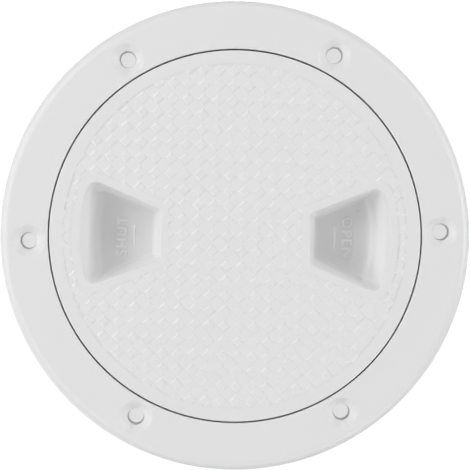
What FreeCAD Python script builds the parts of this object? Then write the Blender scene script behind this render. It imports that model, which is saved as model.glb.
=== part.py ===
"""Screw-out deck inspection plate: a mounting ring, a screw cover with two finger pockets, and an O-ring.

Z points up. The origin is on the plate's axis in the deck's surface, which the flange's underside rests on.
"""
import FreeCAD
import Part
import Sketcher
import math
import os

doc = FreeCAD.newDocument("deck_inspection_plate")

# Driving sizes, in millimetres, degrees and counts
SIZES = (
    ("opening_diameter", 101.6, "clear way through the ring"),
    ("flange_height", 6.0, "flange top above the deck"),
    ("flange_edge_radius", 3.0, "rounded outer edge of the flange"),
    ("flange_land", 1.0, "flat between a screw's seat and that rounded edge"),
    ("neck_depth", 14.0, "neck below the deck"),
    ("neck_wall", 3.2, "wall of the neck behind the thread"),
    ("seat_land", 2.95, "flat between the thread and the seal"),
    ("screw_count", 6, "deck screws"),
    ("screw_land", 1.05, "flat between the slot and a screw's seat"),
    ("screw_hole_diameter", 5.2, "clearance hole of a deck screw"),
    ("countersink_diameter", 9.8, "seat of a screw's head"),
    ("countersink_angle", 90.0, "included angle of that seat"),
    ("countersink_lip_radius", 0.9, "rounded lip of that seat"),
    ("thread_pitch", 4.0, "rise of one turn"),
    ("thread_height", 1.5, "ridge above its wall"),
    ("thread_flank_angle", 20.0, "lean of the ridge's flanks"),
    ("thread_gap", 0.3, "clearance between the two threads"),
    ("ring_thread_turns", 2.5, "length of the ring's ridge"),
    ("ring_thread_drop", 1.8, "uppermost ridge below the seal seat"),
    ("cover_thread_turns", 2.0, "length of the cover's ridge"),
    ("cover_thickness", 3.4, "cover inside its rim"),
    ("cover_drop", 0.2, "cover's face below the flange top"),
    ("rim_thickness", 1.6, "rim that presses the seal"),
    ("rim_gap", 0.45, "slot between cover and ring"),
    ("slot_edge_radius", 0.35, "rounded edges of that slot"),
    ("skirt_wall", 2.4, "wall of the threaded skirt"),
    ("skirt_tail", 1.0, "plain skirt below the lowest ridge"),
    ("seal_section", 2.3, "thickness of the O-ring"),
    ("seal_gap", 0.15, "clearance round the O-ring"),
    ("cover_angle", -2.65, "where the closed cover stands, from the first screw"),
    ("pocket_count", 2, "finger pockets"),
    ("pocket_depth", 11.0, "pocket floor below the cover's face"),
    ("pocket_skirt_gap", 0.2, "pocket's outer edge inside the skirt"),
    ("pocket_length", 24.7, "pocket's inner edge from its outer edge"),
    ("pocket_inner_width", 15.45, "length of that edge between the sides"),
    ("pocket_side_angle", 22.4, "splay of each side"),
    ("pocket_draft", 9.5, "lean of the inner and side walls"),
    ("pocket_outer_draft", 20.5, "lean of the outer wall"),
    ("pocket_inner_corner", 1.9, "corner radius near the axis"),
    ("pocket_outer_corner", 3.1, "corner radius near the rim"),
    ("pocket_corner_taper", 0.55, "part of a corner's radius that is left at the pocket's floor"),
    ("pocket_floor_radius", 0.95, "rounding at the pocket's floor"),
    ("pocket_cove_radius", 4.6, "wide cove at the foot of the outer wall"),
    ("pocket_lip_radius", 0.6, "rounded lip of the pocket"),
    ("cup_wall", 2.0, "walls and floor of the cup under a pocket"),
    ("border_width", 4.1, "smooth border between the tread and the slot"),
    ("tread_relief", 0.22, "raised lozenges above the field"),
    ("tread_pitch", 4.64, "lozenge to lozenge along a row"),
    ("tread_gap", 0.28, "between the corners of neighbouring lozenges"),
    ("tread_bevel", 0.55, "sloping edge of a lozenge"),
    ("tread_angle", -1.0, "turn of the rows from the pockets"),
    ("band_width", 2.6, "smooth band round a pocket"),
)

sheet = doc.addObject("Spreadsheet::Sheet", "Sizes")
for row, (name, number, meaning) in enumerate(SIZES, start=1):
    sheet.set("A%d" % row, name)
    sheet.set("B%d" % row, str(number))
    sheet.set("C%d" % row, meaning)
    sheet.setAlias("B%d" % row, name)
doc.recompute()

# Sizes that follow from them, as expressions over the sheet
FLANGE_TOP = "Sizes.flange_height"
COVER_TOP = "(Sizes.flange_height - Sizes.cover_drop)"
COVER_UNDERSIDE = "(%s - Sizes.cover_thickness)" % COVER_TOP
RIM_UNDERSIDE = "(%s - Sizes.rim_thickness)" % COVER_TOP
SEAL_SPACE = "(Sizes.seal_section + 2 * Sizes.seal_gap)"
SEAT = "(%s - %s)" % (RIM_UNDERSIDE, SEAL_SPACE)

# Radii, from the opening outwards and from the ring's thread inwards
RING_CREST_R = "(Sizes.opening_diameter / 2)"
RING_WALL_R = "(%s + Sizes.thread_height)" % RING_CREST_R
NECK_R = "(%s + Sizes.neck_wall)" % RING_WALL_R
SHOULDER_R = "(%s + Sizes.seat_land)" % RING_WALL_R
RECESS_R = "(%s + %s)" % (SHOULDER_R, SEAL_SPACE)
RIM_R = "(%s - Sizes.rim_gap)" % RECESS_R
TREAD_R = "(%s - Sizes.border_width)" % RIM_R
SCREW_R = "(%s + Sizes.screw_land + Sizes.countersink_diameter / 2)" % RECESS_R
FLANGE_R = "(%s + Sizes.countersink_diameter / 2 + Sizes.flange_land + Sizes.flange_edge_radius)" % SCREW_R
COVER_CREST_R = "(%s - Sizes.thread_gap)" % RING_WALL_R
COVER_WALL_R = "(%s - Sizes.thread_height)" % COVER_CREST_R
SKIRT_INNER_R = "(%s - Sizes.skirt_wall)" % COVER_WALL_R
POCKET_OUTER_R = "(%s - Sizes.pocket_skirt_gap)" % SKIRT_INNER_R
POCKET_INNER_DISTANCE = "(%s - Sizes.pocket_length)" % POCKET_OUTER_R

# A ridge is as wide at mid height as the pitch leaves when both threads have their clearance
RIDGE_MEAN = "(Sizes.thread_pitch / 2 - Sizes.thread_gap)"
RIDGE_LEAN = "(Sizes.thread_height / 2 * tan(Sizes.thread_flank_angle * 1 deg))"
RIDGE_CREST_HALF = "(%s / 2 - %s)" % (RIDGE_MEAN, RIDGE_LEAN)
RIDGE_FOOT_HALF = "(%s / 2 + %s)" % (RIDGE_MEAN, RIDGE_LEAN)
RING_RIDGE_TOP = "(%s - Sizes.ring_thread_drop)" % SEAT
RING_RIDGE_START = "(%s - Sizes.ring_thread_turns * Sizes.thread_pitch)" % RING_RIDGE_TOP
# The closed cover's ridge lies midway between two turns of the ring's, whatever angle the cover stands at
COVER_RIDGE_START = "(%s + Sizes.thread_pitch * (1 / 2 + Sizes.cover_angle / 360))" % RING_RIDGE_START
SKIRT_BOTTOM = "(%s - %s - Sizes.skirt_tail)" % (COVER_RIDGE_START, RIDGE_FOOT_HALF)

FIELD = "(%s - Sizes.tread_relief)" % COVER_TOP
POCKET_FLOOR = "(%s - Sizes.pocket_depth)" % COVER_TOP
CUP_UNDERSIDE = "(%s - Sizes.cup_wall)" % POCKET_FLOOR
SPLAY = "(Sizes.pocket_side_angle * 1 deg)"
DRAFT = "(Sizes.pocket_draft * 1 deg)"
OUTER_DRAFT = "(Sizes.pocket_outer_draft * 1 deg)"
OUTER_FOOT_R = "(%s - Sizes.pocket_depth * tan(%s))" % (POCKET_OUTER_R, OUTER_DRAFT)
LOZENGE_REACH = "((Sizes.tread_pitch - Sizes.tread_gap) / 2)"


def size(expression):
    """The number that an expression over the sheet has now."""
    found = sheet.evalExpression(expression)
    return float(getattr(found, "Value", found))


def origin_feature(body, role):
    return [f for f in body.Origin.OriginFeatures if f.Role == role][0]


def attach(sketch, body, role, offset=None):
    """Lays a sketch on one of its body's origin planes, raised by an expression."""
    sketch.AttachmentSupport = [(origin_feature(body, role), "")]
    sketch.MapMode = "FlatFace"
    if offset:
        sketch.setExpression("AttachmentOffset.Base.z", offset)


def tie(sketch, kind, *ends, to):
    """A dimension between two points of a sketch that follows an expression."""
    number = sketch.addConstraint(Sketcher.Constraint(kind, *ends, size(to)))
    sketch.setExpression("Constraints[%d]" % number, to)


def outline(body, name, role, points, offset=None):
    """A closed outline of straight lines. Each point is two expressions, across and up the plane."""
    sketch = body.newObject("Sketcher::SketchObject", name)
    attach(sketch, body, role, offset)
    places = [FreeCAD.Vector(size(across), size(up), 0) for across, up in points]
    count = len(points)
    for i in range(count):
        sketch.addGeometry(Part.LineSegment(places[i], places[(i + 1) % count]))
    for i in range(count):
        sketch.addConstraint(Sketcher.Constraint("Coincident", i, 2, (i + 1) % count, 1))
    for i, (across, up) in enumerate(points):
        tie(sketch, "DistanceX", -1, 1, i, 1, to=across)
        tie(sketch, "DistanceY", -1, 1, i, 1, to=up)
    return sketch


def turned(body, name, sketch):
    """The solid that an outline sweeps in one turn about the plate's axis."""
    feature = body.newObject("PartDesign::Revolution", name)
    feature.Profile = sketch
    feature.ReferenceAxis = (origin_feature(body, "Z_Axis"), [""])
    feature.Angle = 360
    doc.recompute()
    return feature


def ridge(body, name, start, wall_r, crest_r, turns):
    """One screw ridge, its foot sunk a little into the wall that carries it."""
    inward = size(crest_r) < size(wall_r)
    sunk = "(%s %s Sizes.thread_height / 4)" % (wall_r, "+" if inward else "-")
    section = outline(body, name + "_section", "XZ_Plane", (
        (sunk, "%s - %s" % (start, RIDGE_FOOT_HALF)),
        (wall_r, "%s - %s" % (start, RIDGE_FOOT_HALF)),
        (crest_r, "%s - %s" % (start, RIDGE_CREST_HALF)),
        (crest_r, "%s + %s" % (start, RIDGE_CREST_HALF)),
        (wall_r, "%s + %s" % (start, RIDGE_FOOT_HALF)),
        (sunk, "%s + %s" % (start, RIDGE_FOOT_HALF)),
    ))
    feature = body.newObject("PartDesign::AdditiveHelix", name)
    feature.Profile = section
    feature.ReferenceAxis = (origin_feature(body, "Z_Axis"), [""])
    feature.Mode = "pitch-turns-angle"
    feature.LeftHanded = False
    feature.setExpression("Pitch", "Sizes.thread_pitch")
    feature.setExpression("Turns", turns)
    doc.recompute()
    return feature


def edges_where(feature, wanted):
    """Names of a feature's edges that a test accepts."""
    return ["Edge%d" % (i + 1) for i, edge in enumerate(feature.Shape.Edges) if wanted(edge)]


def circle_at(radius, height, off_axis=0.0):
    """A test for level circular edges of one radius and height, centred on the axis or off it."""
    def wanted(edge):
        curve = edge.Curve
        if not isinstance(curve, Part.Circle) or abs(curve.Axis.z) < 0.999:
            return False
        centre = curve.Center
        return (
            abs(curve.Radius - radius) < 1e-4
            and abs(centre.z - height) < 1e-4
            and abs(math.hypot(centre.x, centre.y) - off_axis) < 1e-4
        )
    return wanted


def rounded(body, name, base, wanted, radius):
    """Rounds the edges of a feature that a test accepts."""
    feature = body.newObject("PartDesign::Fillet", name)
    feature.Base = (base, edges_where(base, wanted))
    feature.setExpression("Radius", radius)
    doc.recompute()
    return feature


def make_ring():
    """The ring that is screwed to the deck: flange, seal seat, neck and the inner thread."""
    body = doc.addObject("PartDesign::Body", "Ring")
    section = outline(body, "ring_section", "XZ_Plane", (
        (RING_WALL_R, "-Sizes.neck_depth"),
        (NECK_R, "-Sizes.neck_depth"),
        (NECK_R, "0"),
        (FLANGE_R, "0"),
        (FLANGE_R, FLANGE_TOP),
        (RECESS_R, FLANGE_TOP),
        (RECESS_R, SEAT),
        (RING_WALL_R, SEAT),
    ))
    blank = turned(body, "ring_blank", section)
    outer = rounded(
        body, "flange_edge", blank, circle_at(size(FLANGE_R), size(FLANGE_TOP)), "Sizes.flange_edge_radius",
    )
    rounded(
        body, "slot_edge", outer, circle_at(size(RECESS_R), size(FLANGE_TOP)), "Sizes.slot_edge_radius",
    )
    drill = body.newObject("Sketcher::SketchObject", "screw_place")
    attach(drill, body, "XY_Plane", FLANGE_TOP)
    place = FreeCAD.Vector(size(SCREW_R), 0, 0)
    drill.addGeometry(Part.Circle(place, FreeCAD.Vector(0, 0, 1), size("Sizes.screw_hole_diameter / 2")))
    tie(drill, "DistanceX", -1, 1, 0, 3, to=SCREW_R)
    tie(drill, "DistanceY", -1, 1, 0, 3, to="0")
    tie(drill, "Radius", 0, to="Sizes.screw_hole_diameter / 2")
    doc.recompute()
    hole = body.newObject("PartDesign::Hole", "screw_hole")
    hole.Profile = drill
    hole.DepthType = "ThroughAll"
    hole.ThreadType = "None"
    hole.setExpression("Diameter", "Sizes.screw_hole_diameter")
    hole.HoleCutType = "Countersink"
    hole.HoleCutCustomValues = True
    hole.setExpression("HoleCutDiameter", "Sizes.countersink_diameter")
    hole.setExpression("HoleCutCountersinkAngle", "Sizes.countersink_angle")
    doc.recompute()
    holes = body.newObject("PartDesign::PolarPattern", "screw_holes")
    holes.Originals = [hole]
    holes.Axis = (origin_feature(body, "Z_Axis"), [""])
    holes.Angle = 360
    holes.setExpression("Occurrences", "Sizes.screw_count")
    body.Tip = holes
    doc.recompute()
    lips = rounded(
        body, "screw_lips", holes,
        circle_at(size("Sizes.countersink_diameter / 2"), size(FLANGE_TOP), size(SCREW_R)),
        "Sizes.countersink_lip_radius",
    )
    body.Tip = lips
    thread = ridge(
        body, "ring_thread", RING_RIDGE_START, RING_WALL_R, RING_CREST_R, "Sizes.ring_thread_turns",
    )
    body.Tip = thread
    return body


def make_seal():
    """The O-ring that the cover's rim presses on the ring's seat."""
    seal = doc.addObject("Part::Torus", "Seal")
    seal.setExpression("Radius1", "%s - %s / 2" % (RECESS_R, SEAL_SPACE))
    seal.setExpression("Radius2", "Sizes.seal_section / 2")
    seal.setExpression("Placement.Base.z", "%s + %s / 2" % (SEAT, SEAL_SPACE))
    return seal


def pocket_outline(body, name, height, wall="0"):
    """The outline of a finger pocket at one height, grown by a wall.

    Its inner edge is straight, its sides splay, its outer edge is an arc about the plate's axis, and its
    corners are rounded, less so towards the floor. The side lines and the inner edge would meet at a sharp
    corner, which sets the width.
    """
    drop = "(%s - %s)" % (COVER_TOP, height)
    inset = "(%s * tan(%s) - %s / cos(%s))" % (drop, DRAFT, wall, DRAFT)
    inner = "(%s + %s)" % (POCKET_INNER_DISTANCE, inset)
    half = "(Sizes.pocket_inner_width / 2 + %s * (tan(%s) - 1 / cos(%s)))" % (inset, SPLAY, SPLAY)
    outset = "(%s / cos(%s) - %s * tan(%s))" % (wall, OUTER_DRAFT, drop, OUTER_DRAFT)
    outer = "(%s + %s)" % (POCKET_OUTER_R, outset)
    left = "(1 - (1 - Sizes.pocket_corner_taper) * %s / Sizes.pocket_depth)" % drop
    near_corner = "(Sizes.pocket_inner_corner * %s + %s)" % (left, wall)
    far_corner = "(Sizes.pocket_outer_corner * %s + %s)" % (left, wall)
    splay = math.radians(size("Sizes.pocket_side_angle"))
    sharp = FreeCAD.Vector(size(inner), size(half), 0)
    radius, near_r, far_r = size(outer), size(near_corner), size(far_corner)
    # The corner centres lie inside the side line, one at its radius from the inner edge and one at its radius
    # from the outer arc
    side = FreeCAD.Vector(math.cos(splay), math.sin(splay), 0)
    outward = FreeCAD.Vector(-math.sin(splay), math.cos(splay), 0)
    near = sharp - outward * near_r
    near = near + side * ((sharp.x + near_r - near.x) / side.x)
    start = sharp - outward * far_r
    ahead = start.dot(side)
    far = start + side * (math.sqrt(ahead ** 2 + (radius - far_r) ** 2 - start.dot(start)) - ahead)
    half_turn = splay + math.pi / 2
    spread = math.atan2(far.y, far.x)

    def flipped(point):
        return FreeCAD.Vector(point.x, -point.y, 0)

    def arc(centre, r, first, last):
        circle = Part.Circle(centre, FreeCAD.Vector(0, 0, 1), r)
        return Part.ArcOfCircle(circle, first, last)

    near_side, far_side = near + outward * near_r, far + outward * far_r
    edge_end = FreeCAD.Vector(sharp.x, near.y, 0)
    sketch = body.newObject("Sketcher::SketchObject", name)
    attach(sketch, body, "XY_Plane", height)
    for piece in (
        Part.LineSegment(flipped(edge_end), edge_end),
        arc(near, near_r, half_turn, math.pi),
        Part.LineSegment(near_side, far_side),
        arc(far, far_r, spread, half_turn),
        arc(FreeCAD.Vector(0, 0, 0), radius, -spread, spread),
        arc(flipped(far), far_r, -half_turn, -spread),
        Part.LineSegment(flipped(far_side), flipped(near_side)),
        arc(flipped(near), near_r, math.pi, 2 * math.pi - half_turn),
    ):
        sketch.addGeometry(piece)
    corner = sketch.addGeometry(Part.Point(sharp), True)
    for joint in (
        (0, 2, 1, 2), (1, 1, 2, 1), (2, 2, 3, 2), (3, 1, 4, 2),
        (4, 1, 5, 2), (5, 1, 6, 1), (6, 2, 7, 2), (7, 1, 0, 1),
    ):
        sketch.addConstraint(Sketcher.Constraint("Tangent", *joint))
    for rule in (
        ("Equal", 1, 7), ("Equal", 3, 5), ("Equal", 2, 6), ("Coincident", 4, 3, -1, 1),
        ("Symmetric", 0, 1, 0, 2, -1), ("PointOnObject", corner, 1, 0), ("PointOnObject", corner, 1, 2),
    ):
        sketch.addConstraint(Sketcher.Constraint(*rule))
    tie(sketch, "DistanceX", -1, 1, 0, 2, to=inner)
    tie(sketch, "DistanceY", -1, 1, corner, 1, to=half)
    tie(sketch, "Radius", 1, to=near_corner)
    tie(sketch, "Radius", 3, to=far_corner)
    tie(sketch, "Radius", 4, to=outer)
    lean = sketch.addConstraint(Sketcher.Constraint("Angle", 2, splay))
    sketch.setExpression("Constraints[%d]" % lean, SPLAY)
    return sketch


def around(body, name, *features):
    """Repeats features at each finger pocket."""
    pattern = body.newObject("PartDesign::PolarPattern", name)
    pattern.Originals = list(features)
    pattern.Axis = (origin_feature(body, "Z_Axis"), [""])
    pattern.Angle = 360
    pattern.setExpression("Occurrences", "Sizes.pocket_count")
    body.Tip = pattern
    doc.recompute()
    return pattern


def at_each_pocket(shape):
    """Copies of a shape, turned to each of the finger pockets."""
    count = round(size("Sizes.pocket_count"))
    centre, upward = FreeCAD.Vector(0, 0, 0), FreeCAD.Vector(0, 0, 1)
    return [shape.rotated(centre, upward, 360 * i / count) for i in range(count)]


def traced(sketch):
    """A test for edges that follow a sketch's outline at any of the finger pockets."""
    outlines = at_each_pocket(sketch.Shape)

    def wanted(edge):
        points = [Part.Vertex(p) for p in edge.discretize(5)]
        return any(all(line.distToShape(p)[0] < 1e-3 for p in points) for line in outlines)
    return wanted


def pocket_cove(body):
    """The cove that fills the foot of a pocket's outer wall. It meets the floor and the wall smoothly, and
    its hidden sides lie half way into the walls and the floor of the cup.
    """
    reach = "(Sizes.pocket_cove_radius * tan(45 deg - %s / 2))" % OUTER_DRAFT
    foot = "(%s - %s)" % (OUTER_FOOT_R, reach)
    crest = "(%s + %s * sin(%s))" % (OUTER_FOOT_R, reach, OUTER_DRAFT)
    crest_height = "(%s + %s * cos(%s))" % (POCKET_FLOOR, reach, OUTER_DRAFT)
    centre_height = "(%s + Sizes.pocket_cove_radius)" % POCKET_FLOOR
    back = "(%s + Sizes.cup_wall / 2)" % crest
    bottom = "(%s - Sizes.cup_wall / 2)" % POCKET_FLOOR

    def place(across, up):
        return FreeCAD.Vector(size(across), size(up), 0)

    sketch = body.newObject("Sketcher::SketchObject", "cove_section")
    attach(sketch, body, "XZ_Plane")
    radius = size("Sizes.pocket_cove_radius")
    circle = Part.Circle(place(foot, centre_height), FreeCAD.Vector(0, 0, 1), radius)
    wall_side = -math.radians(size("Sizes.pocket_outer_draft"))
    sketch.addGeometry(Part.ArcOfCircle(circle, -math.pi / 2, wall_side))
    corners = [
        place(crest, crest_height), place(back, crest_height), place(back, bottom), place(foot, bottom),
        place(foot, POCKET_FLOOR),
    ]
    for start, end in zip(corners, corners[1:]):
        sketch.addGeometry(Part.LineSegment(start, end))
    for joint in ((0, 2, 1, 1), (1, 2, 2, 1), (2, 2, 3, 1), (3, 2, 4, 1), (4, 2, 0, 1)):
        sketch.addConstraint(Sketcher.Constraint("Coincident", *joint))
    for rule in (("Horizontal", 1), ("Vertical", 2), ("Horizontal", 3), ("Vertical", 4)):
        sketch.addConstraint(Sketcher.Constraint(*rule))
    tie(sketch, "DistanceX", -1, 1, 0, 3, to=foot)
    tie(sketch, "DistanceY", -1, 1, 0, 3, to=centre_height)
    tie(sketch, "Radius", 0, to="Sizes.pocket_cove_radius")
    tie(sketch, "DistanceX", -1, 1, 0, 1, to=foot)
    tie(sketch, "DistanceY", -1, 1, 0, 2, to=crest_height)
    tie(sketch, "DistanceX", -1, 1, 2, 2, to=back)
    tie(sketch, "DistanceY", -1, 1, 3, 2, to=bottom)

    # The sides' lines, half way into the cup's wall at the floor, say how far round the cove reaches
    inset = "(Sizes.pocket_depth * tan(%s) - Sizes.cup_wall / 2 / cos(%s))" % (DRAFT, DRAFT)
    half = "(Sizes.pocket_inner_width / 2 + %s * (tan(%s) - 1 / cos(%s)))" % (inset, SPLAY, SPLAY)
    off_axis = "(%s * cos(%s) - (%s + %s) * sin(%s))" % (half, SPLAY, POCKET_INNER_DISTANCE, inset, SPLAY)
    cove = body.newObject("PartDesign::Revolution", "cove")
    cove.Profile = sketch
    cove.ReferenceAxis = (origin_feature(body, "Z_Axis"), [""])
    cove.Midplane = True
    cove.setExpression("Angle", "2 * (%s + asin(%s / %s))" % (SPLAY, off_axis, OUTER_FOOT_R))
    doc.recompute()
    return cove


def make_cover_body():
    """The screw cover without its lozenges: disc, rim, threaded skirt and the cups of the finger pockets."""
    body = doc.addObject("PartDesign::Body", "Cover")
    section = outline(body, "cover_section", "XZ_Plane", (
        ("0", COVER_UNDERSIDE),
        (SKIRT_INNER_R, COVER_UNDERSIDE),
        (SKIRT_INNER_R, SKIRT_BOTTOM),
        (COVER_WALL_R, SKIRT_BOTTOM),
        (COVER_WALL_R, COVER_UNDERSIDE),
        (SHOULDER_R, COVER_UNDERSIDE),
        (SHOULDER_R, RIM_UNDERSIDE),
        (RIM_R, RIM_UNDERSIDE),
        (RIM_R, COVER_TOP),
        (TREAD_R, COVER_TOP),
        (TREAD_R, FIELD),
        ("0", FIELD),
    ))
    blank = turned(body, "cover_blank", section)
    rim = rounded(
        body, "rim_edge", blank, circle_at(size(RIM_R), size(COVER_TOP)), "Sizes.slot_edge_radius",
    )
    body.Tip = rim

    cup = body.newObject("PartDesign::AdditiveLoft", "cup")
    cup.Profile = pocket_outline(body, "cup_top", FIELD, "Sizes.cup_wall")
    cup.Sections = [pocket_outline(body, "cup_bottom", CUP_UNDERSIDE, "Sizes.cup_wall")]
    cup.Ruled = True
    doc.recompute()
    around(body, "cups", cup)
    band = body.newObject("PartDesign::Pad", "band")
    band.Profile = pocket_outline(body, "band_outline", FIELD, "Sizes.band_width")
    band.setExpression("Length", "Sizes.tread_relief")
    doc.recompute()
    around(body, "bands", band)
    pocket = body.newObject("PartDesign::SubtractiveLoft", "pocket")
    mouth = pocket_outline(body, "pocket_mouth", COVER_TOP)
    floor = pocket_outline(body, "pocket_floor", POCKET_FLOOR)
    pocket.Profile = mouth
    pocket.Sections = [floor]
    pocket.Ruled = True
    doc.recompute()
    pockets = around(body, "pockets", pocket)
    floors = rounded(body, "pocket_floors", pockets, traced(floor), "Sizes.pocket_floor_radius")
    body.Tip = floors
    coves = around(body, "coves", pocket_cove(body))
    body.Tip = rounded(body, "pocket_lips", coves, traced(mouth), "Sizes.pocket_lip_radius")
    body.Tip = ridge(
        body, "cover_thread", COVER_RIDGE_START, COVER_WALL_R, COVER_CREST_R, "Sizes.cover_thread_turns",
    )
    return body


def lozenge():
    """One raised lozenge of the tread on the plate's axis. Its corners point along and across the rows, and
    its four edges slope.
    """
    foot = size(LOZENGE_REACH)
    top = foot - size("Sizes.tread_bevel") * math.sqrt(2)
    below, above = [
        [FreeCAD.Vector(x * reach, y * reach, level) for x, y in ((1, 0), (0, 1), (-1, 0), (0, -1))]
        for reach, level in ((foot, size(FIELD)), (top, size(COVER_TOP)))
    ]
    faces = [Part.Face(Part.makePolygon(ring + ring[:1])) for ring in (below, above)]
    for i in range(4):
        j = (i + 1) % 4
        faces.append(Part.Face(Part.makePolygon([below[i], below[j], above[j], above[i], below[i]])))
    return Part.Solid(Part.Shell(faces))


def lozenges(bands):
    """The tread's lozenges in straight rows: those that stand free in the field, and what is left of those
    that the border or a band cuts off. The plate's axis lies midway between two lozenges of a row.
    """
    pattern = lozenge()
    pitch, reach = size("Sizes.tread_pitch"), size(TREAD_R)
    foot = size(LOZENGE_REACH)
    low, relief = size(FIELD), size("Sizes.tread_relief")
    turn = FreeCAD.Rotation(FreeCAD.Vector(0, 0, 1), size("Sizes.tread_angle"))
    rows = math.ceil(reach / pitch) + 1
    free, crossing = [], []
    for i in range(-rows, rows):
        for j in range(-rows, rows):
            shift = turn.multVec(FreeCAD.Vector((i + 0.5) * pitch, j * pitch, 0))
            from_axis = shift.Length
            if from_axis > reach + foot:
                continue
            tile = pattern.copy()
            tile.Placement = FreeCAD.Placement(shift, turn)
            centre = Part.Vertex(shift + FreeCAD.Vector(0, 0, low))
            from_band = min(band.distToShape(centre)[0] for band in bands)
            stands_free = from_axis < reach - foot and from_band > foot
            (free if stands_free else crossing).append(tile)
    field = Part.makeCylinder(reach, relief, FreeCAD.Vector(0, 0, low))
    field = field.cut([band.extrude(FreeCAD.Vector(0, 0, relief)) for band in bands])
    return free, Part.makeCompound(crossing).common(field).Solids


def lies_at(face, height):
    return abs(face.BoundBox.ZMin - height) < 1e-6 and abs(face.BoundBox.ZMax - height) < 1e-6


def with_tread(blank, bands):
    """The cover with its tread, one closed skin. Each free lozenge's foot becomes an opening in the flat
    field, which the lozenge's own edges and top close again.
    """
    free, cut_off = lozenges(bands)
    joined = blank.fuse(Part.makeCompound(cut_off))
    low = size(FIELD)
    field = max((f for f in joined.Faces if lies_at(f, low)), key=lambda f: f.Area)
    skin = [f for f in joined.Faces if not f.isSame(field)]
    feet = []
    for tile in free:
        for face in tile.Faces:
            (feet if lies_at(face, low) else skin).append(face)
    skin.append(Part.Face(field.Wires + [foot.OuterWire for foot in feet]))
    closed = Part.makeCompound(skin)
    closed.sewShape()
    return Part.Solid(closed.Shells[0])


def make_cover():
    """The whole screw cover, turned to where it stands when it is closed."""
    body = make_cover_body()
    bands = at_each_pocket(Part.Face(doc.getObject("band_outline").Shape.Wires[0]))
    cover = doc.addObject("Part::Feature", "ScrewCover")
    cover.Shape = with_tread(body.Shape, bands)
    cover.setExpression("Placement.Rotation.Angle", "Sizes.cover_angle * 1 deg")
    return cover


parts = {
    "mounting_ring": make_ring(),
    "screw_cover": make_cover(),
    "o_ring": make_seal(),
}
doc.recompute()

failed = [item.Name for item in doc.Objects if "Invalid" in item.State or "Error" in item.State]
if failed:
    raise RuntimeError("these objects failed: %s" % ", ".join(failed))
for node, item in parts.items():
    item.Label = node
    if item.Shape.isNull() or not item.Shape.isValid():
        raise RuntimeError("%s has no valid shape" % node)

os.makedirs("parts", exist_ok=True)
for node, item in parts.items():
    item.Shape.exportStep("parts/%s.step" % node)
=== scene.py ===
"""Dresses the deck inspection plate: its plastic and rubber finishes, the raised words and arrows in its
finger pockets, its mould marks, and a plain studio around it.

The file is laid out as an add-on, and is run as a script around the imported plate. Lengths are in metres, in
the plate's own frame: Z is up, and the origin is on the plate's axis in the deck's surface.
"""
import math

import bpy
from bpy.props import FloatProperty, FloatVectorProperty, PointerProperty
from mathutils import Matrix, Vector


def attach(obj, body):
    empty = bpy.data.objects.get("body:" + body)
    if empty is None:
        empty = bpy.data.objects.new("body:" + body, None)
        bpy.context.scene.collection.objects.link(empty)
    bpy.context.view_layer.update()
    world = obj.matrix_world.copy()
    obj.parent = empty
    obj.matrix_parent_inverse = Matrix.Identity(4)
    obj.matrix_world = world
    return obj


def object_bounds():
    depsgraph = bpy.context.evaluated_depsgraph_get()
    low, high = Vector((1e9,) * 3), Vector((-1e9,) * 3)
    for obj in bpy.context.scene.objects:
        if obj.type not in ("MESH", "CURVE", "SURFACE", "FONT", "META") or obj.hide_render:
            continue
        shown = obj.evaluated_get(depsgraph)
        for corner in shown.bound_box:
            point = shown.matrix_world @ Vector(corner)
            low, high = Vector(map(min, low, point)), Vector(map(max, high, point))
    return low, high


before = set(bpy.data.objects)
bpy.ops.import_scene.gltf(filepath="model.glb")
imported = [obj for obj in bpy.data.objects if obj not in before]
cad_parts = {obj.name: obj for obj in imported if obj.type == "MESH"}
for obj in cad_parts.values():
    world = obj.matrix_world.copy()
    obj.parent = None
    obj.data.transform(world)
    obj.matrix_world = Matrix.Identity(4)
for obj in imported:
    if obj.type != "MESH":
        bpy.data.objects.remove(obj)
CAD_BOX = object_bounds()

bl_info = {
    "name": "Deck Inspection Plate",
    "version": (1, 0, 0),
    "blender": (4, 5, 0),
    "location": "View3D > Sidebar > Deck Plate",
    "description": "Finishes, raised lettering and studio for a screw-out deck inspection plate",
    "category": "Object",
}

MM = 0.001

# Where the closed cover stands, the levels of its surfaces and the edge of its tread
COVER_ANGLE = math.radians(-2.65)
POCKET_FLOOR = -5.2 * MM
FIELD = 5.58 * MM
TREAD_RADIUS = 53.3 * MM

# How the finish finds the tread: how far off the field's level and past its edge a place may be, and the band
# above the field where the lozenges' feet get painted shade, as its middle and half its height
LEVEL_SLACK = 0.03 * MM
EDGE_SLACK = 0.02 * MM
FOOT_MIDDLE = 0.05 * MM
FOOT_REACH = 0.04 * MM

# A face whose normal has a lower height than this is on the underside
FACES_DOWN = -0.3

# The smears that make the gloss uneven, in waves a metre, and the middle level of a Noise texture
SMEAR_SCALE = 140.0
NOISE_MIDDLE = 0.5

PLASTIC_IOR = 1.5

# The marks on the pockets' floors: a name, its word, the half turn of the left-hand pocket, how far the word
# and the arrow stand off the pocket's middle line, and the way the arrow points along its arc
MARKS = (
    ("open", "OPEN", False, 0.25 * MM, -0.05 * MM, 1),
    ("shut", "SHUT", True, 1.1 * MM, 1.0 * MM, -1),
)

# How a letter is shaped: the part of its size that it takes along a line, how much bolder than the font it
# is, its rounded edge, and the steps of its curves and of that edge
LETTER_ADVANCE = 0.7
BOLDER = 0.17 * MM
EDGE_EASE = 0.2 * MM
LETTER_STEPS = 6
EASE_STEPS = 2

# How an arrow is shaped: the spread of a barb, the part of its rods' radius that lies below the floor, the
# sides of a rod, the steps of its arc, and the grain that fuses it and the smoothing that softens it
BARB_ANGLE = math.radians(40)
ROD_SUNK = 0.5
ROD_SIDES = 12
ARC_STEPS = 24
ARROW_VOXEL = 0.05 * MM
SOFTNESS = 0.5
SOFT_PASSES = 4

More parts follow.
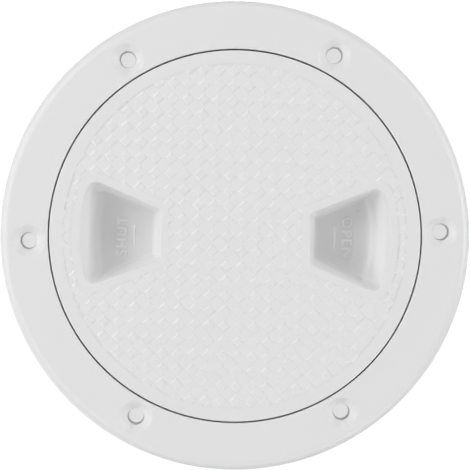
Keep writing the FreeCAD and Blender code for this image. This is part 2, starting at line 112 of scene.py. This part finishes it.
# The gate's pip: its place in the right-hand pocket's own directions, its sides, the part of its height that
# is rounded, the steps of that edge and the angle from which an edge stays sharp
PIP_PLACE = (38.4 * MM, 8.5 * MM)
PIP_SIDES = 32
PIP_EASE = 0.5
PIP_STEPS = 3
PIP_SHARP = math.radians(40)

# A face whose normal has a greater height than this is a top
FACES_UP = 0.9

# How close two points are to be one
SEAM = 1e-7

# The screw holes: how many, their distance from the axis and their radius
HOLES = 6
HOLE_DISTANCE = 63.8 * MM
HOLE_RADIUS = 2.6 * MM

# The studio's floor: its side, how far below the plate it lies, the ring in which it turns white, and how
# strongly it glows inside and outside that ring
FLOOR_SIDE = 6.0
FLOOR_GAP = 0.02 * MM
FLOOR_RIM = (68.0 * MM, 72.0 * MM)
FLOOR_GLOW = (0.1, 0.52)

# The studio's paper, a low cone under the flange that shows in the screw holes, grey as painted shade with
# a dark edge as painted shadow: its inner and outer radius, its level, how far it slopes, its sides, where in
# a hole it turns dark, and how strongly it glows in the middle and at the dark edge
PAPER_EDGES = (60.2 * MM, 67.4 * MM)
PAPER_LEVEL = -0.1 * MM
PAPER_SLOPE = 0.1 * MM
PAPER_SIDES = 96
PAPER_SHADOW_RIM = (HOLE_RADIUS - 0.4 * MM, HOLE_RADIUS - 0.15 * MM)
PAPER_GLOW = (0.66, 0.26)

STUDIO_ROUGHNESS = 0.9

# Soft lamps round the plate: a name, the side it stands on, its height angle and its share of the lamp power
LAMPS = (
    ("left_upper_lamp", 150, 30, 0.4),
    ("left_lamp", 183, 28, 0.6),
    ("upper_left_lamp", 135, 47, 0.37),
    ("lower_left_lamp", 222, 46, 0.23),
    ("right_lamp", 0, 26, 0.56),
    ("right_upper_lamp", 30, 24, 0.42),
    ("top_high_lamp", 52, 47, 0.1),
    ("top_lamp", 90, 30, 0.2),
    ("bottom_lamp", 264, 27, 0.27),
    ("bottom_right_lamp", 302, 28, 0.43),
    ("under_left_lamp", 220, -45, 0.5),
    ("under_right_lamp", 40, -60, 0.3),
)
LAMP_DISTANCE = 1.4
LAMP_WIDTH = 0.7

# The camera: its sensor in millimetres, and the nearest and the farthest that it sees
SENSOR_WIDTH = 36.0
CLIP = (0.01, 20.0)

WHITE = (1.0, 1.0, 1.0, 1.0)


# Settings

class PlasticSettings(bpy.types.PropertyGroup):
    """The white moulded plastic of the ring and the cover."""
    colour: FloatVectorProperty(
        name="Colour", description="White of the plastic", subtype="COLOR", size=3, min=0.0, max=1.0,
        default=(0.84, 0.84, 0.84),
    )
    roughness: FloatProperty(
        name="Roughness", description="Gloss of a polished face, lower is glossier", subtype="FACTOR",
        default=0.3, min=0.0, max=1.0,
    )
    grain_roughness: FloatProperty(
        name="Grain roughness", description="Gloss of a grained face: the tread's field and the hidden sides",
        subtype="FACTOR", default=0.5, min=0.0, max=1.0,
    )


class RubberSettings(bpy.types.PropertyGroup):
    """The black rubber of the O-ring."""
    colour: FloatVectorProperty(
        name="Colour", description="Black of the rubber", subtype="COLOR", size=3, min=0.0, max=1.0,
        default=(0.018, 0.018, 0.019),
    )
    roughness: FloatProperty(
        name="Roughness", description="Dullness of the rubber", subtype="FACTOR", default=0.55,
        min=0.0, max=1.0,
    )


class MarkSettings(bpy.types.PropertyGroup):
    """The raised words and arrows on the floors of the finger pockets."""
    # Lighter than the plastic: painted light, standing in for the light that the raised marks catch
    colour: FloatVectorProperty(
        name="Colour", description="White of the rubbed marks", subtype="COLOR", size=3, min=0.0, max=1.0,
        default=(0.92, 0.92, 0.92),
    )
    word_distance: FloatProperty(
        name="Word distance", description="From the plate's axis to the middle of a word", unit="LENGTH",
        default=35.3 * MM,
    )
    letter_height: FloatProperty(
        name="Letter height", description="Height of a capital", unit="LENGTH", default=3.15 * MM,
    )
    word_length: FloatProperty(
        name="Word length", description="From the first letter to the last", unit="LENGTH", default=13.2 * MM,
    )
    relief: FloatProperty(
        name="Relief", description="Words and pip above the pocket's floor", unit="LENGTH", default=0.25 * MM,
    )
    arrow_distance: FloatProperty(
        name="Arrow distance", description="From the plate's axis to an arrow's shaft", unit="LENGTH",
        default=31.4 * MM,
    )
    arrow_length: FloatProperty(
        name="Arrow length", description="Length of an arrow along its arc", unit="LENGTH", default=7.3 * MM,
    )
    arrow_stroke: FloatProperty(
        name="Arrow stroke", description="Width of an arrow's rods", unit="LENGTH", default=0.75 * MM,
    )
    barb_length: FloatProperty(
        name="Barb length", description="Of the two barbs of an arrow's head", unit="LENGTH",
        default=1.5 * MM,
    )
    pip_width: FloatProperty(
        name="Pip width", description="Of the gate's pip in the right-hand pocket", unit="LENGTH",
        default=0.8 * MM,
    )


class StudioSettings(bpy.types.PropertyGroup):
    """Camera, lamps, floor and paper."""
    camera_distance: FloatProperty(
        name="Camera distance", description="From the plate's top to the camera", unit="LENGTH", default=0.65,
    )
    camera_lean: FloatProperty(
        name="Camera lean", description="Of the view from straight down", subtype="ANGLE",
        default=math.radians(2.0),
    )
    lean_direction: FloatProperty(
        name="Lean direction", description="Side the camera leans to, from the picture's right",
        subtype="ANGLE", default=math.radians(109),
    )
    camera_turn: FloatProperty(
        name="Camera turn", description="Of the picture's right side from the plate's first screw hole",
        subtype="ANGLE", default=math.radians(-1.2),
    )
    picture_width: FloatProperty(
        name="Picture width", description="Of the plane at the flange's top that the picture shows",
        unit="LENGTH", default=145.09 * MM,
    )
    aim: FloatVectorProperty(
        name="Aim", description="Point that the camera looks at", size=3, subtype="TRANSLATION",
        unit="LENGTH", default=(0.0, 0.48 * MM, 5.9 * MM),
    )
    lamp_power: FloatProperty(
        name="Lamps", description="Power that the lamps' shares are taken from", unit="POWER", default=10.0,
    )
    sky_strength: FloatProperty(
        name="Sky", description="Strength of the even light from all round", default=0.0,
    )
    floor_colour: FloatVectorProperty(
        name="Floor colour", description="Pale floor", subtype="COLOR", size=3, min=0.0, max=1.0,
        default=(0.82, 0.82, 0.82),
    )
    # The paper's grey is painted shade in the screw holes
    paper_shade_colour: FloatVectorProperty(
        name="Paper colour", description="Grey paper that shows in the screw holes", subtype="COLOR", size=3,
        min=0.0, max=1.0, default=(0.2, 0.2, 0.2),
    )


# Small helpers

def deselect_all():
    if bpy.context.object and bpy.context.object.mode != "OBJECT":
        bpy.ops.object.mode_set(mode="OBJECT")
    bpy.ops.object.select_all(action="DESELECT")


def select_only(*objects):
    """Selects the objects, the first of them active."""
    deselect_all()
    for item in objects:
        item.select_set(True)
    bpy.context.view_layer.objects.active = objects[0]


def place_applied(piece):
    """Moves a piece's place into its mesh, so that its object sits at the origin."""
    select_only(piece)
    bpy.ops.object.transform_apply(location=True, rotation=True, scale=True)


def turned_with_cover(piece, half_turn=False):
    """Turns a piece that was made at the right-hand pocket to where the closed cover carries it."""
    angle = COVER_ANGLE + (math.pi if half_turn else 0.0)
    bpy.context.view_layer.update()
    piece.matrix_world = Matrix.Rotation(angle, 4, "Z") @ piece.matrix_world
    place_applied(piece)


def merged(piece):
    """Closes a piece's seams and points its faces outwards."""
    select_only(piece)
    bpy.ops.object.mode_set(mode="EDIT")
    bpy.ops.mesh.select_all(action="SELECT")
    bpy.ops.mesh.remove_doubles(threshold=SEAM)
    bpy.ops.mesh.normals_make_consistent(inside=False)
    bpy.ops.object.mode_set(mode="OBJECT")


# Nodes

def wired(tree, kind, place, inputs=None, **settings):
    """A new node with its settings and inputs. An input is a value or another node's output."""
    node = tree.nodes.new(kind)
    node.location = place
    for name, value in settings.items():
        setattr(node, name, value)
    for name, value in (inputs or {}).items():
        socket = node.inputs[name]
        if isinstance(value, bpy.types.NodeSocket):
            tree.links.new(value, socket)
        else:
            socket.default_value = value
    return node


def maths(tree, place, operation, *values):
    """The result of a Math node."""
    return wired(tree, "ShaderNodeMath", place, dict(enumerate(values)), operation=operation).outputs[0]


def ranged(tree, place, value, ends, span=(0.0, 1.0)):
    """A value that goes from one end to the other while the given value crosses the span."""
    return wired(tree, "ShaderNodeMapRange", place, {
        "Value": value, "From Min": span[0], "From Max": span[1], "To Min": ends[0], "To Max": ends[1],
    }).outputs[0]


def noise(tree, place, vector, scale, detail, roughness):
    """The level of a Noise texture."""
    return wired(tree, "ShaderNodeTexNoise", place, {
        "Vector": vector, "Scale": scale, "Detail": detail, "Roughness": roughness,
    }).outputs["Fac"]


def plan_place(tree, x, y):
    """The X, Y and Z of a place on the object, and its distance from the axis."""
    place = wired(tree, "ShaderNodeTexCoord", (x, y)).outputs["Object"]
    parts = wired(tree, "ShaderNodeSeparateXYZ", (x + 200, y), {"Vector": place}).outputs
    flat = wired(tree, "ShaderNodeCombineXYZ", (x + 400, y + 160), {"X": parts["X"], "Y": parts["Y"]})
    radius = wired(tree, "ShaderNodeVectorMath", (x + 600, y + 160), {0: flat.outputs[0]}, operation="LENGTH")
    return parts, radius.outputs["Value"]


def new_group(name, inputs, outputs):
    """A new node group with its sockets. Inputs give each name its default, outputs give it its kind."""
    group = bpy.data.node_groups.new(name, "ShaderNodeTree")
    for socket_name, default in inputs.items():
        kind = "NodeSocketColor" if isinstance(default, tuple) else "NodeSocketFloat"
        socket = group.interface.new_socket(name=socket_name, in_out="INPUT", socket_type=kind)
        socket.default_value = default
    for socket_name, kind in outputs.items():
        group.interface.new_socket(name=socket_name, in_out="OUTPUT", socket_type=kind)
    return group


def moulded_skin_group():
    """A moulded face: cloudy tint, uneven gloss, a fine orange-peel surface, grain where it is masked, and
    painted shade, a darker tint in crevices.
    """
    name = "Moulded Skin"
    if name in bpy.data.node_groups:
        return bpy.data.node_groups[name]
    group = new_group(name, {
        "Color": (0.7, 0.7, 0.7, 1.0),
        "Roughness": 0.35,
        "Cloud Scale": 60.0,
        "Cloud Amount": 0.02,
        "Gloss Amount": 0.1,
        "Peel Scale": 900.0,
        "Peel Height": 0.004 * MM,
        "Grain": 0.0,
        "Grain Scale": 3200.0,
        "Grain Height": 0.012 * MM,
        "Grain Roughness": 0.5,
        "Grain Tint": 0.985,
        "Crevice Shade": 0.0,
        "Shade Tint": 0.92,
    }, {"Color": "NodeSocketColor", "Roughness": "NodeSocketFloat", "Normal": "NodeSocketVector"})
    start = wired(group, "NodeGroupInput", (-900, 0)).outputs
    place = wired(group, "ShaderNodeTexCoord", (-900, -300)).outputs["Object"]

    clouds = noise(group, (-600, 200), place, start["Cloud Scale"], detail=3.0, roughness=0.55)
    cloud_level = maths(group, (-400, 200), "SUBTRACT", clouds, NOISE_MIDDLE)
    shade = ranged(group, (-400, 400), start["Grain"], (1.0, start["Grain Tint"]))
    tint = maths(group, (-200, 260), "MULTIPLY_ADD", cloud_level, start["Cloud Amount"], shade)
    # Painted shade: the crevice mask darkens the colour, standing in for the shade at the lozenges' feet
    painted_shade = ranged(group, (-200, 460), start["Crevice Shade"], (1.0, start["Shade Tint"]))
    tint_and_shade = maths(group, (-50, 400), "MULTIPLY", tint, painted_shade)
    colour = wired(group, "ShaderNodeVectorMath", (100, 300), {
        0: start["Color"], "Scale": tint_and_shade,
    }, operation="SCALE")

    smears = noise(group, (-600, -60), place, SMEAR_SCALE, detail=4.0, roughness=0.6)
    uneven = maths(group, (-400, -60), "SUBTRACT", smears, NOISE_MIDDLE)
    dulled = ranged(group, (-400, -220), start["Grain"], (start["Roughness"], start["Grain Roughness"]))
    gloss = maths(group, (-200, -60), "MULTIPLY_ADD", uneven, start["Gloss Amount"], dulled)

    peel = noise(group, (-600, -320), place, start["Peel Scale"], detail=2.0, roughness=0.5)
    peeled = wired(group, "ShaderNodeBump", (-200, -320), {
        "Height": peel, "Distance": start["Peel Height"], "Strength": 1.0,
    })
    grain = noise(group, (-600, -560), place, start["Grain Scale"], detail=1.0, roughness=0.5)
    grained = wired(group, "ShaderNodeBump", (0, -320), {
        "Height": grain, "Distance": start["Grain Height"], "Strength": start["Grain"],
        "Normal": peeled.outputs["Normal"],
    })
    wired(group, "NodeGroupOutput", (250, 0), {
        "Color": colour.outputs["Vector"], "Roughness": gloss, "Normal": grained.outputs["Normal"],
    })
    return group


def sunk_field_group():
    """Two masks of the cover's tread: the grained field between the lozenges, and their feet for painted
    shade.
    """
    name = "Sunk Field"
    if name in bpy.data.node_groups:
        return bpy.data.node_groups[name]
    group = new_group(name, {}, {"Mask": "NodeSocketFloat", "Foot Shade": "NodeSocketFloat"})
    parts, radius = plan_place(group, -900, 0)
    within = maths(group, (-100, 160), "LESS_THAN", radius, TREAD_RADIUS + EDGE_SLACK)
    level = maths(group, (-500, -60), "COMPARE", parts["Z"], FIELD, LEVEL_SLACK)
    near_foot = maths(group, (-500, -260), "COMPARE", parts["Z"], FIELD + FOOT_MIDDLE, FOOT_REACH)
    wired(group, "NodeGroupOutput", (300, 0), {
        "Mask": maths(group, (100, 60), "MULTIPLY", level, within),
        "Foot Shade": maths(group, (100, -160), "MULTIPLY", near_foot, within),
    })
    return group


def hidden_side_group():
    """A mask of the faces under the plate, which face down: they are grained and never polished."""
    name = "Hidden Side"
    if name in bpy.data.node_groups:
        return bpy.data.node_groups[name]
    group = new_group(name, {}, {"Mask": "NodeSocketFloat"})
    facing = wired(group, "ShaderNodeTexCoord", (-500, 0)).outputs["Normal"]
    parts = wired(group, "ShaderNodeSeparateXYZ", (-300, 0), {"Vector": facing}).outputs
    wired(group, "NodeGroupOutput", (100, 0), {
        "Mask": maths(group, (-100, 0), "LESS_THAN", parts["Z"], FACES_DOWN),
    })
    return group


# Materials

def new_material(name):
    """An empty node material, its tree, its shader and its output's surface."""
    material = bpy.data.materials.new(name)
    material.use_nodes = True
    tree = material.node_tree
    tree.nodes.clear()
    shader = wired(tree, "ShaderNodeBsdfPrincipled", (300, 0))
    end = wired(tree, "ShaderNodeOutputMaterial", (800, 0), {"Surface": shader.outputs["BSDF"]})
    return material, tree, shader, end.inputs["Surface"]


def moulded(name, colour, roughness, grained=(), **skin):
    """A moulded finish. Grained names the masks of its faces that have grain in place of polish."""
    material, tree, shader, _ = new_material(name)
    surface = wired(tree, "ShaderNodeGroup", (0, 0), node_tree=moulded_skin_group())
    surface.inputs["Color"].default_value = (*colour, 1.0)
    surface.inputs["Roughness"].default_value = roughness
    for socket, value in skin.items():
        surface.inputs[socket.replace("_", " ").title()].default_value = value
    grain = None
    for i, group in enumerate(grained):
        masks = wired(tree, "ShaderNodeGroup", (-500, -200 * i), node_tree=group).outputs
        grain = maths(tree, (-250, -100), "MAXIMUM", grain, masks["Mask"]) if grain else masks["Mask"]
        # The lozenges' feet take painted shade
        if "Foot Shade" in masks:
            tree.links.new(masks["Foot Shade"], surface.inputs["Crevice Shade"])
    if grain:
        tree.links.new(grain, surface.inputs["Grain"])
    tree.links.new(surface.outputs["Color"], shader.inputs["Base Color"])
    tree.links.new(surface.outputs["Roughness"], shader.inputs["Roughness"])
    tree.links.new(surface.outputs["Normal"], shader.inputs["Normal"])
    shader.inputs["IOR"].default_value = PLASTIC_IOR
    return material


def white_plastic(name, look, *grained):
    """White plastic, polished where it isn't grained."""
    return moulded(name, look.colour, look.roughness, grained, grain_roughness=look.grain_roughness)


def dressed(node, material):
    """Gives a CAD node its finish."""
    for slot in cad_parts[node].material_slots:
        slot.material = material


# Pieces

class PLATE_OT_mounting_ring(bpy.types.Operator):
    """Finish the mounting ring in polished white plastic"""
    bl_idname = "plate.mounting_ring"
    bl_label = "Mounting Ring"

    def execute(self, context):
        look = context.scene.plate_plastic
        dressed("mounting_ring", white_plastic("Ring Plastic", look, hidden_side_group()))
        return {"FINISHED"}


class PLATE_OT_screw_cover(bpy.types.Operator):
    """Finish the screw cover in the same plastic"""
    bl_idname = "plate.screw_cover"
    bl_label = "Screw Cover"

    def execute(self, context):
        look = context.scene.plate_plastic
        dressed("screw_cover", white_plastic("Cover Plastic", look, sunk_field_group(), hidden_side_group()))
        return {"FINISHED"}


class PLATE_OT_seal(bpy.types.Operator):
    """Finish the O-ring in black rubber"""
    bl_idname = "plate.seal"
    bl_label = "O-Ring"

    def execute(self, context):
        look = context.scene.plate_rubber
        dressed("o_ring", moulded(
            "Seal Rubber", look.colour, look.roughness, cloud_scale=300.0, cloud_amount=0.6, gloss_amount=0.2,
            peel_scale=2500.0, peel_height=0.012 * MM,
        ))
        return {"FINISHED"}


def raised_word(name, text, marks, shift, half_turn):
    """A word on a pocket's floor, its capitals' tops away from the plate's axis."""
    deselect_all()
    bpy.ops.object.text_add(location=(0, 0, 0))
    word = bpy.context.object
    word.data.body = text
    word.data.align_x = "CENTER"
    word.data.align_y = "CENTER"
    word.data.resolution_u = LETTER_STEPS
    bpy.context.view_layer.update()
    word.data.size = marks.letter_height / word.dimensions.y
    bpy.context.view_layer.update()
    spare = (marks.word_length - word.dimensions.x) / (len(text) - 1)
    word.data.space_character = 1.0 + spare / (LETTER_ADVANCE * word.data.size)
    word.data.offset = BOLDER - EDGE_EASE
    word.data.extrude = marks.relief - EDGE_EASE
    word.data.bevel_depth = EDGE_EASE
    word.data.bevel_resolution = EASE_STEPS
    bpy.ops.object.convert(target="MESH")
    word = bpy.context.object
    word.name = name
    middle = (Vector(word.bound_box[0]) + Vector(word.bound_box[6])) / 2
    word.data.transform(Matrix.Rotation(-math.pi / 2, 4, "Z") @ Matrix.Translation(-middle))
    word.location = (marks.word_distance, shift, POCKET_FLOOR)
    turned_with_cover(word, half_turn)
    merged(word)
    return word


def rod(start, end, width):
    """A round rod between two points, the start of an arrow's barb."""
    along = Vector(end) - Vector(start)
    deselect_all()
    bpy.ops.mesh.primitive_cylinder_add(
        vertices=ROD_SIDES, radius=width / 2, depth=along.length, location=(Vector(start) + Vector(end)) / 2,
        rotation=along.to_track_quat("Z", "Y").to_euler(),
    )
    return bpy.context.object


def raised_arrow(name, marks, shift, heading, half_turn):
    """An arrow on a pocket's floor, bent round the plate's axis, its round rods sunk in the floor."""
    reach, width = marks.arrow_distance, marks.arrow_stroke
    level = POCKET_FLOOR - ROD_SUNK * width / 2
    half_arc = marks.arrow_length / 2 / reach
    tail, tip = shift / reach - heading * half_arc, shift / reach + heading * half_arc
    deselect_all()
    bpy.ops.mesh.primitive_circle_add(
        vertices=ROD_SIDES, radius=width / 2, fill_type="NOTHING", rotation=(math.pi / 2, 0, tail),
        location=(reach * math.cos(tail), reach * math.sin(tail), level),
    )
    shaft = bpy.context.object
    bpy.ops.object.mode_set(mode="EDIT")
    bpy.ops.mesh.select_all(action="SELECT")
    bpy.ops.mesh.spin(steps=ARC_STEPS, angle=tail - tip, center=(0, 0, level), axis=(0, 0, 1))
    bpy.ops.mesh.select_all(action="SELECT")
    bpy.ops.mesh.fill_holes(sides=0)
    bpy.ops.object.mode_set(mode="OBJECT")
    place_applied(shaft)
    merged(shaft)
    point = Vector((reach * math.cos(tip), reach * math.sin(tip), level))
    back = Vector((math.sin(tip), -math.cos(tip), 0.0)) * heading * marks.barb_length
    barbs = [
        rod(point, point + Matrix.Rotation(side * BARB_ANGLE, 3, "Z") @ back, width) for side in (-1, 1)
    ]
    select_only(shaft, *barbs)
    bpy.ops.object.join()
    shaft.name = name
    fused = shaft.modifiers.new("Fused", "REMESH")
    fused.mode = "VOXEL"
    fused.voxel_size = ARROW_VOXEL
    soft = shaft.modifiers.new("Soft", "SMOOTH")
    soft.factor = SOFTNESS
    soft.iterations = SOFT_PASSES
    for modifier in (fused.name, soft.name):
        bpy.ops.object.modifier_apply(modifier=modifier)
    bpy.ops.object.shade_smooth()
    turned_with_cover(shaft, half_turn)
    return shaft


def raised_pip(marks):
    """The low round pip beside the word in the right-hand pocket, its edge rounded."""
    deselect_all()
    bpy.ops.mesh.primitive_cylinder_add(
        vertices=PIP_SIDES, radius=marks.pip_width / 2, depth=2 * marks.relief,
        location=(*PIP_PLACE, POCKET_FLOOR),
    )
    pip = bpy.context.object
    pip.name = "gate_pip"
    bpy.ops.object.mode_set(mode="EDIT")
    bpy.ops.mesh.select_all(action="DESELECT")
    bpy.ops.object.mode_set(mode="OBJECT")
    for face in pip.data.polygons:
        face.select = face.normal.z > FACES_UP
    bpy.ops.object.mode_set(mode="EDIT")
    bpy.ops.mesh.bevel(offset=marks.relief * PIP_EASE, segments=PIP_STEPS)
    bpy.ops.object.mode_set(mode="OBJECT")
    bpy.ops.object.shade_smooth_by_angle(angle=PIP_SHARP)
    turned_with_cover(pip)
    merged(pip)
    return pip


class PLATE_OT_marks(bpy.types.Operator):
    """Raise the words, the arrows and the gate's pip on the floors of the finger pockets"""
    bl_idname = "plate.marks"
    bl_label = "Marks"

    def execute(self, context):
        marks = context.scene.plate_marks
        floor_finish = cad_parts["screw_cover"].material_slots[0].material
        # The marks' lighter white is painted light that the raised strokes would catch
        highlighted = moulded("Mark Plastic", marks.colour, context.scene.plate_plastic.roughness)
        pieces = [(raised_pip(marks), floor_finish)]
        for name, text, half_turn, word_shift, arrow_shift, heading in MARKS:
            pieces.append((raised_word(name + "_word", text, marks, word_shift, half_turn), highlighted))
            pieces.append((raised_arrow(name + "_arrow", marks, arrow_shift, heading, half_turn), highlighted))
        for piece, finish in pieces:
            piece.data.materials.clear()
            piece.data.materials.append(finish)
            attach(piece, "cover")
        return {"FINISHED"}


# Studio

def floor_glow(tree):
    """The floor looks white round the plate, and keeps its shadow under it."""
    _, radius = plan_place(tree, -1300, -400)
    return ranged(tree, (-500, -400), radius, FLOOR_GLOW, FLOOR_RIM)


def paper_glow(tree):
    """A screw hole shows the paper grey, with a dark edge: painted shade, and a painted shadow at its edge.

    A place's distance from the middle of the nearest hole comes from its distance from the axis and from the
    angle between the two, by the cosine rule.
    """
    parts, radius = plan_place(tree, -1900, -400)
    angle = maths(tree, (-1500, -600), "ARCTAN2", parts["Y"], parts["X"])
    from_hole = maths(tree, (-1350, -600), "WRAP", angle, math.pi / HOLES, -math.pi / HOLES)
    cosine = maths(tree, (-1200, -600), "COSINE", from_hole)
    along = maths(tree, (-1050, -600), "MULTIPLY", cosine, radius)
    partial = maths(tree, (-900, -600), "MULTIPLY_ADD", along, -2 * HOLE_DISTANCE, HOLE_DISTANCE ** 2)
    squared = maths(tree, (-750, -500), "MULTIPLY_ADD", radius, radius, partial)
    distance = maths(tree, (-600, -500), "SQRT", squared)
    return ranged(tree, (-450, -400), distance, PAPER_GLOW, PAPER_SHADOW_RIM)


def studio_surface(name, colour, glow):
    """A matt studio surface that glows to the camera alone, as strongly as glow's nodes say. From below it
    can be seen through, and the lamps under it shine through it.
    """
    material, tree, shader, end = new_material(name)
    shader.inputs["Base Color"].default_value = (*colour, 1.0)
    shader.inputs["Roughness"].default_value = STUDIO_ROUGHNESS
    path = wired(tree, "ShaderNodeLightPath", (-300, 200)).outputs
    tree.links.new(glow(tree), shader.inputs["Emission Color"])
    tree.links.new(path["Is Camera Ray"], shader.inputs["Emission Strength"])
    below = wired(tree, "ShaderNodeNewGeometry", (100, 250)).outputs["Backfacing"]
    clear = wired(tree, "ShaderNodeBsdfTransparent", (300, -500))
    one_sided = wired(tree, "ShaderNodeMixShader", (600, 100), {
        0: maths(tree, (300, 250), "MAXIMUM", below, path["Is Shadow Ray"]),
        1: shader.outputs["BSDF"], 2: clear.outputs[0],
    })
    tree.links.new(one_sided.outputs[0], end)
    return material


def lay_floor_and_paper(studio):
    deselect_all()
    bpy.ops.mesh.primitive_plane_add(size=FLOOR_SIDE, location=(0.0, 0.0, CAD_BOX[0].z - FLOOR_GAP))
    floor = bpy.context.object
    floor.name = "studio_floor"
    floor.data.materials.append(studio_surface("Studio Floor", studio.floor_colour, floor_glow))
    # The paper glows grey in the screw holes as painted shade, darker at their edges as painted shadow
    deselect_all()
    bpy.ops.mesh.primitive_cone_add(
        vertices=PAPER_SIDES, radius1=PAPER_EDGES[1], radius2=PAPER_EDGES[0], depth=PAPER_SLOPE,
        end_fill_type="NOTHING", location=(0.0, 0.0, PAPER_LEVEL),
    )
    paper = bpy.context.object
    paper.name = "studio_paper"
    paper.data.materials.append(studio_surface("Studio Paper", studio.paper_shade_colour, paper_glow))


def hang_lamp(name, azimuth, height_angle, power):
    """A soft square lamp that looks at the plate from a direction round it."""
    direction = Vector((
        math.cos(azimuth) * math.cos(height_angle),
        math.sin(azimuth) * math.cos(height_angle),
        math.sin(height_angle),
    ))
    deselect_all()
    bpy.ops.object.light_add(type="AREA", location=direction * LAMP_DISTANCE)
    light = bpy.context.object
    light.name = name
    light.data.shape = "SQUARE"
    light.data.size = LAMP_WIDTH
    light.data.energy = power
    light.rotation_euler = direction.to_track_quat("Z", "Y").to_euler()


def studio_world(strength):
    """Even light from all round, seen as plain white by the camera and in reflections."""
    world = bpy.data.worlds.new("Studio Sky")
    bpy.context.scene.world = world
    world.use_nodes = True
    tree = world.node_tree
    tree.nodes.clear()
    path = wired(tree, "ShaderNodeLightPath", (-700, 0)).outputs
    mirrored = maths(tree, (-500, 0), "MAXIMUM", path["Is Glossy Ray"], path["Is Transmission Ray"])
    seen = maths(tree, (-300, 0), "MAXIMUM", path["Is Camera Ray"], mirrored)
    sky = wired(tree, "ShaderNodeBackground", (100, 0), {
        "Color": WHITE, "Strength": ranged(tree, (-100, 0), seen, (strength, 1.0)),
    })
    wired(tree, "ShaderNodeOutputWorld", (300, 0), {"Surface": sky.outputs[0]})


def set_camera(studio):
    """A camera over the plate, a little off the plate's axis, as wide as the picture."""
    turn, lean, side = studio.camera_turn, studio.camera_lean, studio.lean_direction + studio.camera_turn
    back = Vector((math.cos(side) * math.sin(lean), math.sin(side) * math.sin(lean), math.cos(lean)))
    level_right = Vector((math.cos(turn), math.sin(turn), 0.0))
    picture_up = back.cross(level_right).normalized()
    axes = Matrix((picture_up.cross(back), picture_up, back)).transposed().to_4x4()
    bpy.ops.object.camera_add()
    camera = bpy.context.object
    camera.name = "studio_camera"
    camera.matrix_world = Matrix.Translation(Vector(studio.aim) + back * studio.camera_distance) @ axes
    camera.data.sensor_width = SENSOR_WIDTH
    camera.data.lens = SENSOR_WIDTH * studio.camera_distance / studio.picture_width
    camera.data.clip_start, camera.data.clip_end = CLIP
    bpy.context.scene.camera = camera


class PLATE_OT_studio(bpy.types.Operator):
    """Lay the floor and the paper, hang the lamps and set the camera over the plate"""
    bl_idname = "plate.studio"
    bl_label = "Studio"

    def execute(self, context):
        studio = context.scene.plate_studio
        lay_floor_and_paper(studio)
        for name, azimuth, height_angle, share in LAMPS:
            hang_lamp(name, math.radians(azimuth), math.radians(height_angle), share * studio.lamp_power)
        studio_world(studio.sky_strength)
        set_camera(studio)
        context.scene.view_settings.view_transform = "Standard"
        return {"FINISHED"}


# Add-on

SETTINGS = {
    "plate_plastic": PlasticSettings,
    "plate_rubber": RubberSettings,
    "plate_marks": MarkSettings,
    "plate_studio": StudioSettings,
}
STEPS = (
    PLATE_OT_studio,
    PLATE_OT_mounting_ring,
    PLATE_OT_screw_cover,
    PLATE_OT_seal,
    PLATE_OT_marks,
)


class PLATE_PT_panel(bpy.types.Panel):
    """Everything that dresses the deck plate"""
    bl_idname = "PLATE_PT_panel"
    bl_label = "Deck Plate"
    bl_space_type = "VIEW_3D"
    bl_region_type = "UI"
    bl_category = "Deck Plate"

    def draw(self, context):
        for name, settings in SETTINGS.items():
            box = self.layout.box()
            box.label(text=name.removeprefix("plate_").title())
            for setting in settings.__annotations__:
                box.prop(getattr(context.scene, name), setting)
        for step in STEPS:
            self.layout.operator(step.bl_idname)


def register():
    for settings in SETTINGS.values():
        bpy.utils.register_class(settings)
    for name, settings in SETTINGS.items():
        setattr(bpy.types.Scene, name, PointerProperty(type=settings))
    for step in STEPS:
        bpy.utils.register_class(step)
    bpy.utils.register_class(PLATE_PT_panel)


def unregister():
    bpy.utils.unregister_class(PLATE_PT_panel)
    for step in reversed(STEPS):
        bpy.utils.unregister_class(step)
    for name in SETTINGS:
        delattr(bpy.types.Scene, name)
    for settings in reversed(SETTINGS.values()):
        bpy.utils.unregister_class(settings)


def main():
    register()
    for step in STEPS:
        family, action = step.bl_idname.split(".")
        getattr(getattr(bpy.ops, family), action)()
    deselect_all()


if __name__ == "__main__":
    main()
